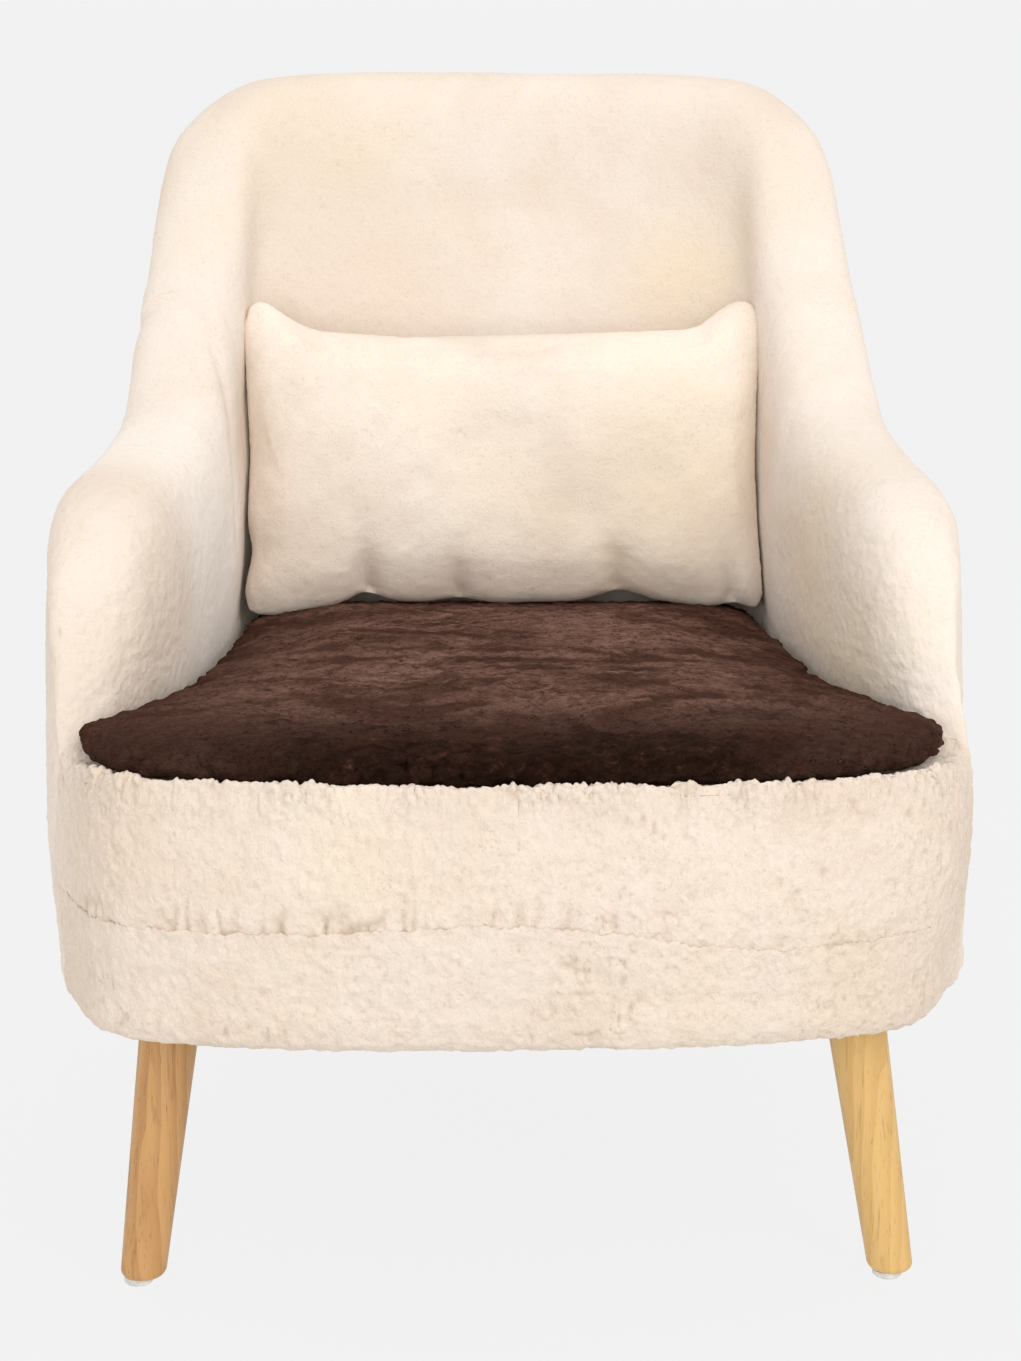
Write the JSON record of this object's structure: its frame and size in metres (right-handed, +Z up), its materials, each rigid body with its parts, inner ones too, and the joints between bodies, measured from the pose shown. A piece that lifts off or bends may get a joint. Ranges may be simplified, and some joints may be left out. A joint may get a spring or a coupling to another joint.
{
  "type": "armchair",
  "caption": "Low tub armchair in cream sheepskin on splayed round wooden legs, with a loose brown seat pad and a loose lumbar pillow.",
  "frame": {"origin": "on the floor, under the centre of the chair's bounding box", "axes": "+Z up, -Y towards the front of the chair, +X towards the right arm as seen from the front"},
  "size_m": [0.6894, 0.748, 0.8704],
  "materials": {
    "cream_sheepskin": "shorn wool pile",
    "brown_sheepskin": "longer brushed wool pile",
    "oiled_oak": "satin oil, grain along the leg",
    "frame_timber": "plain planed timber",
    "zinc_steel": "zinc plated",
    "foam": "open-cell foam and fibre filling",
    "dust_cloth": "thin non-woven cloth",
    "hessian": "plain woven jute",
    "nylon": "moulded"
  },
  "bodies": {
    "chair": {"arm_foam_left": "foam", "arm_foam_right": "foam", "arm_rail_left": "frame_timber", "arm_rail_right": "frame_timber", "arm_stump_left": "frame_timber", "arm_stump_right": "frame_timber", "back_foam": "foam", "back_post_left": "frame_timber", "back_post_right": "frame_timber", "back_strap_1": "hessian", "back_strap_2": "hessian", "back_strap_3": "hessian", "corner_block_front_left": "frame_timber", "corner_block_front_right": "frame_timber", "corner_block_rear_left": "frame_timber", "corner_block_rear_right": "frame_timber", "cover_front_apron_left": "cream_sheepskin", "cover_front_apron_right": "cream_sheepskin", "cover_front_border_left": "cream_sheepskin", "cover_front_border_right": "cream_sheepskin", "cover_inside_arm_left": "cream_sheepskin", "cover_inside_arm_right": "cream_sheepskin", "cover_inside_back": "cream_sheepskin", "cover_outside_arm_left": "cream_sheepskin", "cover_outside_arm_right": "cream_sheepskin", "cover_outside_back": "cream_sheepskin", "cover_seat_deck": "cream_sheepskin", "dust_cover": "dust_cloth", "foot_glide_front_left": "nylon", "foot_glide_front_right": "nylon", "foot_glide_rear_left": "nylon", "foot_glide_rear_right": "nylon", "front_rail": "frame_timber", "hanger_bolt_front_left": "zinc_steel", "hanger_bolt_front_right": "zinc_steel", "hanger_bolt_rear_left": "zinc_steel", "hanger_bolt_rear_right": "zinc_steel", "leg_front_left": "oiled_oak", "leg_front_right": "oiled_oak", "leg_plate_front_left": "zinc_steel", "leg_plate_front_right": "zinc_steel", "leg_plate_rear_left": "zinc_steel", "leg_plate_rear_right": "zinc_steel", "leg_rear_left": "oiled_oak", "leg_rear_right": "oiled_oak", "lumbar_rail": "frame_timber", "rear_rail": "frame_timber", "seat_foam": "foam", "seat_hessian": "hessian", "seat_spring_1": "zinc_steel", "seat_spring_2": "zinc_steel", "seat_spring_3": "zinc_steel", "seat_spring_4": "zinc_steel", "side_rail_left": "frame_timber", "side_rail_right": "frame_timber", "top_rail": "frame_timber"},
    "seat_pad": {"seat_pad_cover": "brown_sheepskin", "seat_pad_core": "foam"},
    "pillow": {"pillow_cover": "cream_sheepskin", "pillow_insert": "foam"}
  },
  "joints": [
    {"name": "seat_pad_lift", "type": "slide", "parent": "chair", "child": "seat_pad", "axis": [0, 0, 1], "range_m": [0, 0.2]},
    {"name": "pillow_lift", "type": "slide", "parent": "seat_pad", "child": "pillow", "axis": [0, -0.6, 0.8], "range_m": [0, 0.25]}
  ]
}
